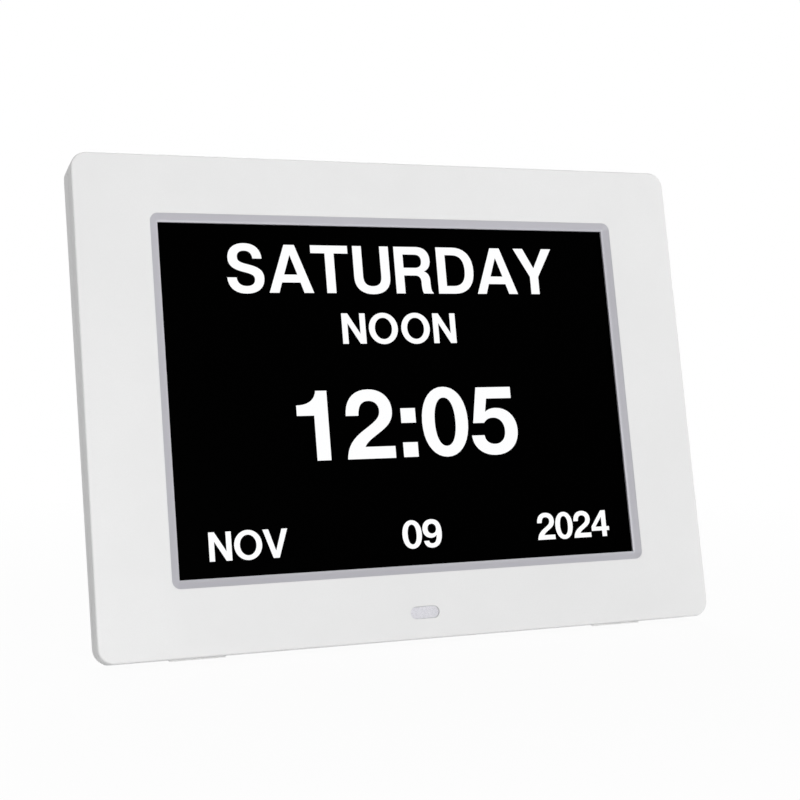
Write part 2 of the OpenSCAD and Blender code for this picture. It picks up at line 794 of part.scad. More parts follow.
module power_socket_pin() color("silver") stand_up() {
    pin_length = jack_bore_depth - 0.8;
    translate([jack_mouth - jack_bore_depth, jack_y, -jack_depth]) rotate([0, 90, 0])
        cylinder(r = jack_pin_r, h = pin_length);
}

module memory_stick_socket() color("silver") stand_up() {
    translate([usb_mouth - usb_len, usb_y - usb_w / 2, -board_back - usb_t]) difference() {
        cube([usb_len, usb_w, usb_t]);
        translate([shell_t, shell_t, shell_t])
            cube([usb_len, usb_w - 2 * shell_t, usb_t - 2 * shell_t]);
    }
}

module memory_stick_tongue() color("ivory") stand_up() {
    inner_w = usb_w - 2 * shell_t;
    inner_t = usb_t - 2 * shell_t;
    side = 0.7;
    translate([usb_mouth - usb_len + shell_t, usb_y - inner_w / 2, -board_back - usb_t + shell_t]) {
        cube([3, inner_w, inner_t]);
        translate([0, side, 0.6]) cube([usb_len - 2, inner_w - 2 * side, 1.8]);
    }
}

module card_slot() color("silver") stand_up() {
    back_t = 2;
    translate([card_mouth - card_len, card_y - card_w / 2, -board_back - card_t]) difference() {
        cube([card_len, card_w, card_t]);
        translate([back_t, shell_t, shell_t])
            cube([card_len, card_w - 2 * shell_t, card_t - 2 * shell_t]);
    }
}

module key_board() color("darkgreen") stand_up() {
    difference() {
        translate([0, key_up, 0]) block(key_board_w, key_board_h, key_board_front, key_board_back);
        at_key_board_holes()
            rod(small_screw_r + thread_fit, key_board_front - over, key_board_back + over);
    }
}

module key_board_screws() color("silver") stand_up() {
    at_key_board_holes() translate([0, 0, -key_board_front]) mirror([0, 0, 1])
        screw(small_screw_r, board_t + small_screw_len, small_head_r, small_head_h);
}

module key_switches() color("dimgray") stand_up() {
    at_keys() block(switch_side, switch_side, key_board_back, key_board_back + switch_h - plunger_h);
}

module switch_plungers() color("black") stand_up() {
    at_keys() rod(plunger_r, key_board_back + switch_h - plunger_h, key_board_back + switch_h);
}

module key_cable() color("gray") stand_up() {
    start = key_board_front - ribbon_t / 2;
    finish = board_back + ribbon_t / 2;
    edge = key_up - key_board_h / 2;
    translate([board_left + 3.5 * key_cable_w, 0, 0])
        ribbon(key_cable_w, [[key_up, start], [edge - 1.5, start], [board_top + 1.5, finish],
            [board_top - key_cable_w, finish]]);
}

module speaker_basket() color("black") stand_up() {
    sheet = 1;
    rim_w = 2.4;
    rim_front = back_inside - 1.4;
    seat = speaker_front + magnet_h;
    translate([speaker_side, speaker_up, 0]) rotate_extrude() polygon([
        [magnet_r - 2, -seat], [magnet_r + sheet, -seat], [speaker_r - 1.6, -rim_front],
        [speaker_r, -rim_front], [speaker_r, -back_inside], [speaker_r - rim_w, -back_inside],
        [speaker_r - rim_w, -rim_front], [magnet_r, -seat - sheet], [magnet_r - 2, -seat - sheet]]);
}

// dust cap, cone and soft roll from the middle outwards, as one thin skin
module speaker_cone() color("darkslategray") stand_up() {
    rim = speaker_r - 2.4;
    translate([speaker_side, speaker_up, -back_inside]) rotate_extrude() polygon([
        [0, 2.6], [2.4, 3], [4, 4.2], [rim - 1.6, 0.7], [rim, 0.7], [rim, 1.1], [rim - 1.4, 1.2],
        [4, 4.8], [0, 3.2]]);
}

module speaker_magnet() color("gray") stand_up() {
    translate([speaker_side, speaker_up, 0])
        rod(magnet_r, speaker_front, speaker_front + magnet_h);
}

// two wires from the basket's flank to the board, beside its lower screw
module speaker_wires() color("firebrick") stand_up() {
    reach = 0.75 * speaker_r;
    flank = speaker_front + magnet_h + 1.9;
    for (i = [0, 1]) {
        turn = 125 + 12 * i;
        pad = [board_right - port_zone + 8 - 2 * i, board_up + 6];
        wire(0.6, [
            [speaker_side + reach * cos(turn), speaker_up + reach * sin(turn), flank],
            [pad[0] + 1, pad[1] - 3, board_back + 5],
            [pad[0], pad[1], board_back + 2],
            [pad[0], pad[1], board_back]]);
    }
}

// the hollow case: tilted rim and raised housing
module cover_shell() {
    difference() {
        union() {
            difference() {
                in_rim() rounded_block(face_w, rim_h, corner_r, -rim_lead, rim_t, back_r = rear_r);
                translate([0, face_h / 2, 0]) block(face_w + 4, face_h + 4, -face_h, cover_front);
            }
            translate([0, face_h / 2, 0])
                rounded_block(box_w, box_h, box_corner_r, cover_front, case_depth, back_r = box_round);
        }
        in_rim() rounded_block(face_w - 2 * wall, rim_h - 2 * wall, corner_r - wall, -rim_lead - over,
            rim_t - wall);
        translate([0, face_h / 2, 0])
            rounded_block(box_w - 2 * wall, box_h - 2 * wall, box_corner_r - wall,
                cover_front - over, back_inside, back_r = box_round - wall);
    }
}

// the tongue that locates the cover inside the bezel's rim
module cover_tongue() {
    outer = corner_r - wall - seat_gap;
    inner = outer - rib_t;
    rooted = corner_r - wall + bite;
    front = parting_depth - 1.8;
    back = cover_front + 2;
    translate([0, face_h / 2, 0]) around(face_w, face_h, corner_r) polygon([
        [inner, -front], [outer, -front], [outer, -cover_front], [rooted, -cover_front],
        [rooted, -back], [inner, -back]]);
}

// the thick block in which the recess for the folded leg is cut
module stand_recess_walls() {
    bottom = box_end + wall / 2;
    floor_inside = case_depth - recess_depth - wall;
    translate([0, (bottom + recess_top + wall) / 2, 0])
        block(recess_w + 2 * wall, recess_top + wall - bottom, floor_inside, back_inside + bite);
}

module stand_recess_cut() {
    floor_depth = case_depth - recess_depth;
    bottom = box_end - 2 * over;
    translate([0, (bottom + recess_top) / 2, 0])
        block(recess_w, recess_top - bottom, floor_depth, case_depth + over);
}

module hinge_ears() {
    foot_depth = case_depth - recess_depth - bite;
    mirrored() translate([ear_x, hinge_up, -hinge_depth]) {
        translate([0, -barrel_r, 0]) cube([ear_t, 2 * barrel_r, hinge_depth - foot_depth]);
        rotate([0, 90, 0]) cylinder(r = barrel_r, h = ear_t);
    }
}

// places children at the middle of each keyhole's cup
module at_cups() at_keyholes() translate([0, cup_h / 2 - cup_w / 2, 0]) children();

module keyhole_cups() {
    at_cups() block(cup_w + 2 * rib_t, cup_h + 2 * rib_t, back_inside - cup_depth - rib_t,
        back_inside + bite);
}

module keyhole_cuts() {
    at_cups() block(cup_w, cup_h, back_inside - cup_depth, back_inside);
    at_keyholes() {
        rod(keyhole_r, back_inside - over, case_depth + over);
        slab(back_inside - over, case_depth + over) {
            translate([-keyhole_slot_r, 0]) square([2 * keyhole_slot_r, keyhole_rise]);
            translate([0, keyhole_rise]) circle(keyhole_slot_r);
        }
    }
}

// ribs from the recess's walls to the housing's sides
module stiffening_ribs() {
    start = recess_w / 2 + wall - bite;
    rib_len = box_inside_x + bite - start;
    mirrored() translate([start + rib_len / 2, rib_up, 0])
        block(rib_len, rib_t, back_inside - rib_h, back_inside + bite);
}

// bosses for the cover screws end inside the tilted rim's wall
module inner_bosses() {
    intersection() {
        at_cover_screws() rod(boss_r, cover_boss_end, case_depth);
        in_rim() block(face_w, rim_h, -rim_lead - over, rim_t - wall / 2);
    }
    at_board_holes() rod(small_boss_r, board_back, back_inside + bite);
    at_key_board_holes() rod(small_boss_r, key_board_back, back_inside + bite);
}

module speaker_collar() {
    translate([speaker_side, speaker_up, 0]) difference() {
        rod(speaker_r + seat_gap + rib_t, back_inside - collar_h, back_inside + bite);
        rod(speaker_r + seat_gap, back_inside - collar_h - over, back_inside);
    }
}

module speaker_grille() {
    translate([speaker_side, speaker_up, 0]) {
        rod(grille_hole_r, back_inside - over, case_depth + over);
        for (ring = [1 : grille_rings]) for (i = [0 : 6 * ring - 1])
            rotate([0, 0, i * 60 / ring]) translate([ring * grille_pitch, 0, 0])
                rod(grille_hole_r, back_inside - over, case_depth + over);
    }
}

module vent_slots() {
    for (i = [0 : vent_count - 1])
        translate([-vent_side, speaker_up + (i - (vent_count - 1) / 2) * vent_pitch, 0])
            slab(back_inside - over, case_depth + over) slot_outline(vent_len, vent_w);
}

// the shallow strip round the keys and a hole for each key
module key_openings() {
    strip_w = key_row + 8;
    strip_h = key_h + 7;
    translate([0, key_up, 0])
        slab(strip_floor, case_depth + over) slot_outline(strip_w, strip_h);
    at_keys() rounded_block(key_w + 2 * key_gap, key_h + 2 * key_gap, key_r + key_gap,
        back_inside - over, case_depth + over);
}

module socket_openings() {
    start = box_inside_x - over;
    through = wall + 2 * over;
    translate([jack_front, jack_y, -jack_depth]) rotate([0, 90, 0])
        cylinder(r = jack_nose_r + port_gap, h = box_round + over);
    translate([start, usb_y - usb_w / 2 - port_gap, -board_back - usb_t - port_gap])
        cube([through, usb_w + 2 * port_gap, usb_t + 2 * port_gap]);
    translate([start, card_y - card_w / 2 - port_gap, -board_back - card_t - port_gap])
        cube([through, card_w + 2 * port_gap, card_t + 2 * port_gap]);
}

// clearance for the shanks, and wells for the heads that open in the rim's flat
module cover_screw_holes() {
    at_cover_screws() {
        rod(screw_r + 0.2, cover_boss_end - over, cover_seat + over);
        rod(head_r + 0.3, cover_seat, case_depth);
    }
}

module boss_holes() {
    at_board_holes()
        rod(small_screw_r + thread_fit, board_back - over, board_back + small_screw_len + over);
    at_key_board_holes()
        rod(small_screw_r + thread_fit, key_board_back - over,
            key_board_back + small_screw_len + over);
}

module rear_cover() color("white") stand_up() difference() {
    union() {
        cover_shell();
        cover_tongue();
        difference() {
            stand_recess_walls();
            stand_recess_cut();
        }
        hinge_ears();
        keyhole_cups();
        stiffening_ribs();
        inner_bosses();
        speaker_collar();
    }
    difference() {
        stand_recess_cut();
        hinge_ears();
    }
    translate([-ear_x - ear_t - over, hinge_up, -hinge_depth]) rotate([0, 90, 0])
        cylinder(r = pin_r + ear_fit, h = 2 * (ear_x + ear_t + over));
    keyhole_cuts();
    speaker_grille();
    vent_slots();
    key_openings();
    socket_openings();
    cover_screw_holes();
    boss_holes();
    case_pads(seat_gap / 2, over);
}

module cover_screws() color("silver") stand_up() {
    at_cover_screws() translate([0, 0, -cover_seat]) screw(screw_r, screw_len, head_r, head_h);
}

module case_feet() color("lightgray") stand_up() case_pads();

// the leg is drawn folded, with the hinge axis as its X axis and its outer face behind
module in_leg() translate([0, hinge_up, -hinge_depth]) rotate([stand_angle, 0, 0]) children();

module stand_pin() color("silver") stand_up() {
    translate([-pin_len / 2, hinge_up, -hinge_depth]) rotate([0, 90, 0])
        cylinder(r = pin_r, h = pin_len);
}

module leg_outline() {
    shoulder = barrel_r + 1;
    slope_end = shoulder + 10;
    polygon([[-barrel_w / 2, heel_len], [barrel_w / 2, heel_len], [barrel_w / 2, -shoulder],
        [leg_w / 2, -slope_end], [leg_w / 2, -leg_end], [-leg_w / 2, -leg_end],
        [-leg_w / 2, -slope_end], [-barrel_w / 2, -shoulder]]);
}

module foot_tongue(gap = 0) {
    mid = (leg_inner + barrel_r) / 2;
    translate([0, -leg_end - foot_tongue_len / 2 + over / 2, 0])
        block(leg_w - 8 + 2 * gap, foot_tongue_len + over + 2 * gap, mid - foot_tongue_t / 2 - gap,
            mid + foot_tongue_t / 2 + gap);
}

module stand_leg() color("white") stand_up() in_leg() {
    pocket_top = barrel_r + 12;
    pocket_zone = leg_end - pocket_top - 4;
    pocket_h = pocket_zone / leg_pockets - 3;
    difference() {
        union() {
            slab(leg_inner, barrel_r) leg_outline();
            translate([-barrel_w / 2, 0, 0]) rotate([0, 90, 0]) cylinder(r = barrel_r, h = barrel_w);
            foot_tongue();
        }
        translate([-barrel_w / 2 - over, 0, 0]) rotate([0, 90, 0])
            cylinder(r = pin_r + pin_clearance, h = barrel_w + 2 * over);
        for (i = [0 : leg_pockets - 1])
            translate([0, -pocket_top - (i + 0.5) * pocket_zone / leg_pockets, 0])
                rounded_block(leg_w - 8, pocket_h, 3, leg_inner - over, leg_inner + leg_pocket);
    }
}

module stand_foot() color("lightgray") stand_up() in_leg() {
    difference() {
        translate([leg_w / 2, 0, 0]) rotate([0, -90, 0]) linear_extrude(leg_w) polygon([
            [-leg_inner, -leg_end], [-barrel_r, -leg_end], [-barrel_r, -leg_reach(barrel_r)],
            [-leg_inner, -leg_reach(leg_inner)]]);
        foot_tongue(seat_gap / 2);
    }
}

module key_cap(index) color("whitesmoke") stand_up() {
    translate([(index - (key_count - 1) / 2) * key_pitch, key_up, 0]) {
        rounded_block(key_w, key_h, key_r, flange_front, case_depth + key_proud, back_r = 0.5);
        rounded_block(key_w + 2 * key_flange, key_h + 2 * key_flange, key_r, flange_front,
            flange_back);
        rod(stem_r, key_stem_end, flange_front);
    }
}

module key_power() key_cap(0);
module key_menu() key_cap(1);
module key_left() key_cap(2);
module key_ok() key_cap(3);
module key_right() key_cap(4);
module key_down() key_cap(5);
module key_up_cap() key_cap(6);

front_bezel();
screen_surround();
remote_window();
remote_receiver();
remote_board();
remote_cable();
screen_gasket();
display_glass();
display_frame();
display_backlight();
display_cable();
display_connector();
display_clips();
display_screws();
main_board();
main_chips();
small_components();
capacitors();
crystal();
coin_cell_holder();
coin_cell();
board_screws();
power_socket();
power_socket_pin();
memory_stick_socket();
memory_stick_tongue();
card_slot();
key_board();
key_board_screws();
key_switches();
switch_plungers();
key_cable();
speaker_basket();
speaker_cone();
speaker_magnet();
speaker_wires();
rear_cover();
cover_screws();
case_feet();
stand_pin();
stand_leg();
stand_foot();
key_power();
key_menu();
key_left();
key_ok();
key_right();
key_down();
key_up_cap();  // key_up
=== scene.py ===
import json
import math

import bmesh
import bpy
from mathutils import Matrix, Vector
from mathutils.geometry import tessellate_polygon

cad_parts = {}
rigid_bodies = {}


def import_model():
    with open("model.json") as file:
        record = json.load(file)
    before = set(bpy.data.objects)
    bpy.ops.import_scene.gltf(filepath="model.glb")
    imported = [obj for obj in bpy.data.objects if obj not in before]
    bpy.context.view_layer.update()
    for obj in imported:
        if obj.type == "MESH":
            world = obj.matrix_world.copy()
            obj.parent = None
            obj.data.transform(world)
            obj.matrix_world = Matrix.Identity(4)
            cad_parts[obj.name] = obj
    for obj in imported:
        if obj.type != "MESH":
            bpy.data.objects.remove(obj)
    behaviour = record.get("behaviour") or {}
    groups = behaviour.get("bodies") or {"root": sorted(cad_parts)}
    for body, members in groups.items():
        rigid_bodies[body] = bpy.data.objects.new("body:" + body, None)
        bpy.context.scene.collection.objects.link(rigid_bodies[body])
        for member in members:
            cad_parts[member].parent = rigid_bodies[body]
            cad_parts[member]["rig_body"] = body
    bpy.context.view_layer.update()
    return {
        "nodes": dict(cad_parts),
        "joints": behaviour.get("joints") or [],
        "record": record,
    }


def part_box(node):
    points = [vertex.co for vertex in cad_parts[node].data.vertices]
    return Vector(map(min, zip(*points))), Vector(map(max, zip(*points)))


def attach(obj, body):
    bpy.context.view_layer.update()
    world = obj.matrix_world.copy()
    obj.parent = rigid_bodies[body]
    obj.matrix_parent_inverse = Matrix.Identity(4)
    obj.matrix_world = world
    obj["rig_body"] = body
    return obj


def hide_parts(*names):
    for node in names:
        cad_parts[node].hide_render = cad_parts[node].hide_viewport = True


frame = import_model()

nodes = frame["nodes"]
MM = 0.001


def in_scene(name, data):
    """A new object with this data, linked to the scene."""
    thing = bpy.data.objects.new(name, data)
    bpy.context.scene.collection.objects.link(thing)
    return thing


# ---------------------------------------------------------------------------------------------
# The face's own frame: across, up the face, and out of the face
# ---------------------------------------------------------------------------------------------
press = next(j for j in frame["joints"] if j["name"] == "key_ok_press")
# the keys are at the back, and are pressed straight towards the face
OUT = Vector(press["axis"]).normalized()
ACROSS = Vector((1, 0, 0))
UP = OUT.cross(ACROSS)


def reach(node, axis):
    """Lowest and highest place of a CAD node along an axis, in metres."""
    places = [v.co.dot(axis) for v in nodes[node].data.vertices]
    return min(places), max(places)


half_width = reach("front_bezel", ACROSS)[1]
face_low, face_high = reach("front_bezel", UP)
face_out = reach("front_bezel", OUT)[1]


def on_face(x, up, depth=0.0):
    """The world point at x across, up the face and depth behind it, all in millimetres."""
    return ACROSS * x * MM + UP * (face_low + up * MM) + OUT * (face_out - depth * MM)


def face_matrix(x, up, depth):
    """Places a flat drawing, made in its own x and y with z towards the viewer, on the face."""
    turn = Matrix((ACROSS, UP, OUT)).transposed().to_4x4()
    return Matrix.Translation(on_face(x, up, depth)) @ turn


# ---------------------------------------------------------------------------------------------
# Camera, from a fit of the face, the surround and the screen to the photograph
# ---------------------------------------------------------------------------------------------
FOCAL_PX = 1631.63
FRAME_PX = 800
SENSOR_MM = 36.0
CAMERA_AZIMUTH = math.radians(-22.8171)
CAMERA_ELEVATION = math.radians(3.0312)
# the middle of the screen as the camera has it: to its right, up and back, in millimetres
SCREEN_IN_VIEW = Vector((2.268, 2.378, -543.271))
SCREEN_MIDDLE_UP = 81.2
# the nearest and the furthest that the camera shows, in metres
CLIP_NEAR = 0.01
CLIP_FAR = 50

cam_back = Vector((
    math.sin(CAMERA_AZIMUTH) * math.cos(CAMERA_ELEVATION),
    -math.cos(CAMERA_AZIMUTH) * math.cos(CAMERA_ELEVATION),
    math.sin(CAMERA_ELEVATION),
))
cam_right = Vector((math.cos(CAMERA_AZIMUTH), math.sin(CAMERA_AZIMUTH), 0))
cam_up = cam_back.cross(cam_right)
cam_turn = Matrix((cam_right, cam_up, cam_back)).transposed()
cam_place = on_face(0, SCREEN_MIDDLE_UP) - cam_turn @ (SCREEN_IN_VIEW * MM)

camera_data = bpy.data.cameras.new("camera")
camera_data.sensor_width = SENSOR_MM
camera_data.lens = FOCAL_PX * SENSOR_MM / FRAME_PX
camera_data.clip_start = CLIP_NEAR
camera_data.clip_end = CLIP_FAR
camera = in_scene("camera", camera_data)
camera.matrix_world = Matrix.Translation(cam_place) @ cam_turn.to_4x4()
bpy.context.scene.camera = camera


# ---------------------------------------------------------------------------------------------
# Node trees
# ---------------------------------------------------------------------------------------------
BEVEL_SAMPLES = 4
# how well the softened normal agrees with the true one, away from edges and on them
AGREES_ON_FLATS = 0.995
AGREES_ON_EDGES = 0.88


class Tree:
    """A node tree under construction."""

    def __init__(self, owner):
        owner.use_nodes = True
        self.nodes = owner.node_tree.nodes
        self.links = owner.node_tree.links
        self.nodes.clear()

    def add(self, kind, **settings):
        """A new node with these settings."""
        node = self.nodes.new(kind)
        for key, value in settings.items():
            setattr(node, key, value)
        return node

    def link(self, source, target):
        self.links.new(source, target)

    def put(self, node, **values):
        """Sets the node's inputs, whose names are written with _ for a space."""
        for key, value in values.items():
            node.inputs[key.replace("_", " ")].default_value = value
        return node

    def remap(self, value, low, high, to_low, to_high):
        """A number that goes from to_low to to_high as the value goes from low to high."""
        node = self.add("ShaderNodeMapRange")
        self.put(node, From_Min=low, From_Max=high, To_Min=to_low, To_Max=to_high)
        self.link(value, node.inputs["Value"])
        return node.outputs["Result"]

    def maths(self, operation, a, b):
        """The result of an operation on two values, each of them a socket or a number."""
        node = self.add("ShaderNodeMath", operation=operation)
        for socket, value in zip(node.inputs, (a, b)):
            if isinstance(value, (int, float)):
                socket.default_value = value
            else:
                self.link(value, socket)
        return node.outputs["Value"]

    def seen(self):
        """1 for what the camera, mirrors and glass see, and 0 for light on its way elsewhere."""
        path = self.add("ShaderNodeLightPath")
        share = path.outputs["Is Camera Ray"]
        for ray in ("Is Glossy Ray", "Is Transmission Ray"):
            share = self.maths("MAXIMUM", share, path.outputs[ray])
        return share


class Shader(Tree):
    """A node material with one Principled surface, under construction."""

    def __init__(self, name):
        self.material = bpy.data.materials.new(name)
        super().__init__(self.material)
        self.surface = self.add("ShaderNodeBsdfPrincipled")
        output = self.add("ShaderNodeOutputMaterial")
        self.link(self.surface.outputs["BSDF"], output.inputs["Surface"])
        self.place = self.add("ShaderNodeTexCoord").outputs["Object"]

    def stretched(self, scale):
        """The place with each axis stretched."""
        mapping = self.add("ShaderNodeMapping")
        mapping.inputs["Scale"].default_value = scale
        self.link(self.place, mapping.inputs["Vector"])
        return mapping.outputs["Vector"]

    def noise(self, size_mm, detail, place=None):
        """Noise whose features are about size_mm across."""
        node = self.add("ShaderNodeTexNoise")
        self.put(node, Scale=1.0 / (size_mm * MM), Detail=detail)
        self.link(place or self.place, node.inputs["Vector"])
        return node.outputs["Fac"]

    def cells(self, size_mm):
        """The distance from the middle of the nearest of many cells, about size_mm across."""
        node = self.put(self.add("ShaderNodeTexVoronoi"), Scale=1.0 / (size_mm * MM))
        self.link(self.place, node.inputs["Vector"])
        return node.outputs["Distance"]

    def share(self, value, low=0.3, high=0.7, most=1.0):
        """A share that goes from 0 to most as the value goes from low to high."""
        return self.remap(value, low, high, 0.0, most)

    def blend(self, share, first, second):
        """A colour between two others, each of them a socket or three numbers."""
        node = self.add("ShaderNodeMix", data_type="RGBA")
        self.link(share, node.inputs["Factor"])
        for socket, colour in ((node.inputs[6], first), (node.inputs[7], second)):
            if isinstance(colour, tuple):
                socket.default_value = (*colour, 1.0)
            else:
                self.link(colour, socket)
        return node.outputs[2]

    def edges(self, radius_mm):
        """Softened normals near edges, and a mask that is 1 on the edges themselves."""
        bevel = self.add("ShaderNodeBevel", samples=BEVEL_SAMPLES)
        self.put(bevel, Radius=radius_mm * MM)
        flat = self.add("ShaderNodeNewGeometry")
        dot = self.add("ShaderNodeVectorMath", operation="DOT_PRODUCT")
        self.link(bevel.outputs["Normal"], dot.inputs[0])
        self.link(flat.outputs["Normal"], dot.inputs[1])
        mask = self.share(dot.outputs["Value"], AGREES_ON_FLATS, AGREES_ON_EDGES)
        return bevel.outputs["Normal"], mask

    def bump(self, height, strength, depth_mm, normal=None):
        """Relief on the surface, over the softened normals where these are given."""
        node = self.put(self.add("ShaderNodeBump"), Strength=strength, Distance=depth_mm * MM)
        self.link(height, node.inputs["Height"])
        if normal:
            self.link(normal, node.inputs["Normal"])
        self.link(node.outputs["Normal"], self.surface.inputs["Normal"])

    def finish(self, colour, rough, **fixed):
        """The material, with its colour and roughness linked and other inputs as numbers."""
        self.link(colour, self.surface.inputs["Base Color"])
        self.link(rough, self.surface.inputs["Roughness"])
        self.put(self.surface, **fixed)
        return self.material


def lighter(colour, factor):
    """The colour times a factor, with no part of it above 1."""
    return tuple(min(1.0, c * factor) for c in colour)


# ---------------------------------------------------------------------------------------------
# Materials
# ---------------------------------------------------------------------------------------------
PIXEL_PITCH = 0.158 * MM
LIT_PIXEL = (1, 1, 1, 1)
LIT_PIXEL_GAP = (0.8, 0.8, 0.82, 1)
CABLE_PITCH = 1.25 * MM
# about how many bands a wave texture has in one unit of length, at a scale of 1
WAVE_BANDS = 3.2


def moulded(name, colour, rough=0.42, grain_mm=0.35, depth_mm=0.012, edge_mm=0.25,
            mottle=0.015, edge_wear_and_highlight=1.03):
    """Injection-moulded plastic: spark-eroded grain, faint clouding, and polished edges, whose
    colour is also painted lighter, partly as wear and partly as a painted highlight.
    """
    s = Shader(name)
    normal, edge = s.edges(edge_mm)
    grain = s.noise(grain_mm, detail=4)
    cloud = s.noise(size_mm=23, detail=3)
    body = s.blend(s.share(cloud), lighter(colour, 1 - mottle), lighter(colour, 1 + mottle))
    fine = s.blend(s.share(grain, 0.35, 0.65, most=0.5), body, lighter(colour, 0.97))
    # painted highlight and wear: the colour is mixed towards a lighter one on the edges
    worn_and_highlit = s.blend(s.maths("MULTIPLY", edge, 0.6), fine, lighter(colour, edge_wear_and_highlight))
    s.bump(grain, strength=0.5, depth_mm=depth_mm, normal=normal)
    polish = s.maths("ADD", grain, s.maths("MULTIPLY", edge, -0.25))
    return s.finish(worn_and_highlit, s.remap(polish, 0.1, 0.9, rough - 0.07, rough + 0.09))


def metal(name, colour, rough, brush=(1, 1, 30), grain_mm=0.6, edge_mm=0.1, stain=0.8):
    """Plated or rolled metal: fine brush lines, clouded plating, and edges painted bright, partly
    as wear and partly as a painted highlight.
    """
    s = Shader(name)
    normal, edge = s.edges(edge_mm)
    lines = s.noise(grain_mm, detail=5, place=s.stretched(brush))
    cloud = s.noise(size_mm=4, detail=4)
    dull = s.blend(s.share(cloud, low=0.35), colour, lighter(colour, stain))
    lined = s.blend(s.share(lines, most=0.35), dull, lighter(colour, 0.7))
    # painted highlight and wear: the edges are mixed towards a brighter colour
    worn_and_highlit = s.blend(edge, lined, lighter(colour, 1.15))
    s.bump(lines, strength=0.35, depth_mm=0.01, normal=normal)
    uneven = s.remap(s.maths("ADD", lines, cloud), 0.6, 1.4, rough - 0.1, rough + 0.14)
    return s.finish(worn_and_highlit, uneven, Metallic=1.0)


def soft(name, colour, rough=0.8, grain_mm=0.5, depth_mm=0.03, edge_mm=0.3, **fixed):
    """Rubber, foam or ferrite: an open, uneven skin with pores, painted shade in the pores, and
    edges painted lighter, partly as rubbing and partly as a painted highlight.
    """
    s = Shader(name)
    normal, edge = s.edges(edge_mm)
    pores = s.cells(grain_mm)
    cloud = s.noise(size_mm=6, detail=4)
    body = s.blend(s.share(cloud), lighter(colour, 0.9), lighter(colour, 1.1))
    # painted highlight and rubbing: the edges are mixed towards a lighter colour
    rubbed_and_highlit = s.blend(s.maths("MULTIPLY", edge, 0.5), body, lighter(colour, 1.25))
    # painted shade: the colour is darker in the middle of each pore, where the bump makes a pit
    pore_shaded = s.blend(s.remap(pores, 0.0, 0.35, 0.3, 0.0), rubbed_and_highlit, lighter(colour, 0.6))
    s.bump(pores, strength=0.4, depth_mm=depth_mm, normal=normal)
    return s.finish(pore_shaded, s.remap(cloud, 0.2, 0.8, rough - 0.06, rough + 0.08), **fixed)


def circuit_board():
    """Solder mask over copper: tracks, plated holes and a woven glass core."""
    s = Shader("board")
    mask, copper, tin = (0.012, 0.12, 0.045), (0.03, 0.24, 0.09), (0.62, 0.60, 0.52)
    glass_core = (0.36, 0.33, 0.16)
    normal, edge = s.edges(radius_mm=0.12)
    tracks = s.add("ShaderNodeTexBrick", offset=0.37, offset_frequency=3)
    s.put(tracks, Scale=120.0, Mortar_Size=0.03, Mortar_Smooth=0.1)
    s.link(s.place, tracks.inputs["Vector"])
    holes = s.share(s.cells(size_mm=4.2), 0.09, 0.07)
    weave = s.noise(size_mm=0.5, detail=2)
    green = s.blend(tracks.outputs["Fac"], mask, copper)
    mottled = s.blend(s.share(weave, low=0.4, most=0.3), green, lighter(mask, 0.7))
    dotted = s.blend(holes, mottled, tin)
    cut = s.blend(edge, dotted, glass_core)
    relief = s.maths("ADD", tracks.outputs["Fac"], holes)
    s.bump(relief, strength=0.5, depth_mm=0.03, normal=normal)
    return s.finish(cut, s.remap(weave, 0.2, 0.8, 0.22, 0.4), Coat_Weight=0.3)


def pixel_grid(s, gap_mm):
    """The display's fine grid, in the object's own x and y: pixels with gaps of gap_mm."""
    grid = s.add("ShaderNodeTexBrick", offset=0.0)
    s.put(grid, Scale=1.0, Brick_Width=PIXEL_PITCH, Row_Height=PIXEL_PITCH, Mortar_Size=gap_mm * MM)
    s.link(s.place, grid.inputs["Vector"])
    return grid


def screen_glass():
    """The switched-off part of the display: black, with a faint trace of its pixels."""
    s = Shader("screen")
    pixel, gap, dust = (0.0002, 0.0002, 0.0002), (0.0001, 0.0001, 0.0001), (0.0008, 0.0008, 0.0008)
    # this node's own y is depth, so the rows are wider apart on the leaning glass than the columns
    grid = pixel_grid(s, gap_mm=0.02)
    haze = s.noise(size_mm=0.25, detail=3)
    body = s.blend(grid.outputs["Fac"], pixel, gap)
    dusty = s.blend(s.share(s.cells(size_mm=3.1), 0.05, 0.03, most=0.5), body, dust)
    s.bump(haze, strength=0.15, depth_mm=0.004)
    return s.finish(dusty, s.remap(haze, 0.2, 0.8, 0.22, 0.34), Specular_IOR_Level=0.002)


def lit_pixels():
    """The lit characters: white light through the display's fine pixel grid."""
    s = Shader("lit_pixels")
    glass, clouded, cool = (0.02, 0.02, 0.02), (0.03, 0.03, 0.03), (0.95, 0.97, 1.0)
    grid = pixel_grid(s, gap_mm=0.012)
    s.put(grid, Mortar_Smooth=0.3, Color1=LIT_PIXEL, Color2=LIT_PIXEL, Mortar=LIT_PIXEL_GAP)
    cloud = s.share(s.noise(size_mm=9, detail=2), most=0.2)
    glow = s.blend(cloud, grid.outputs["Color"], cool)
    s.link(glow, s.surface.inputs["Emission Color"])
    s.bump(grid.outputs["Fac"], strength=0.05, depth_mm=0.001)
    skin = s.blend(cloud, glass, clouded)
    return s.finish(skin, cloud, Emission_Strength=1.02, Specular_IOR_Level=0.03)


def frosted_window():
    """The small window of the remote control's receiver: milky, slightly see-through plastic, with
    painted shade on its edges for the recess it sits in.
    """
    s = Shader("window")
    dim, bright, recess_shade = (0.70, 0.695, 0.74), (0.77, 0.765, 0.81), (0.60, 0.59, 0.64)
    normal, edge = s.edges(radius_mm=0.3)
    grain = s.noise(size_mm=0.3, detail=3)
    depth = s.noise(size_mm=2.5, detail=2)
    milky = s.blend(s.share(depth), dim, bright)
    # painted shade: the edges are mixed towards a darker colour, as the shade of the recess round
    # the window
    recess_shaded = s.blend(s.maths("MULTIPLY", edge, 0.5), milky, recess_shade)
    s.bump(grain, strength=0.25, depth_mm=0.005, normal=normal)
    return s.finish(recess_shaded, s.remap(grain, 0.3, 0.7, 0.22, 0.34), Transmission_Weight=0.08)


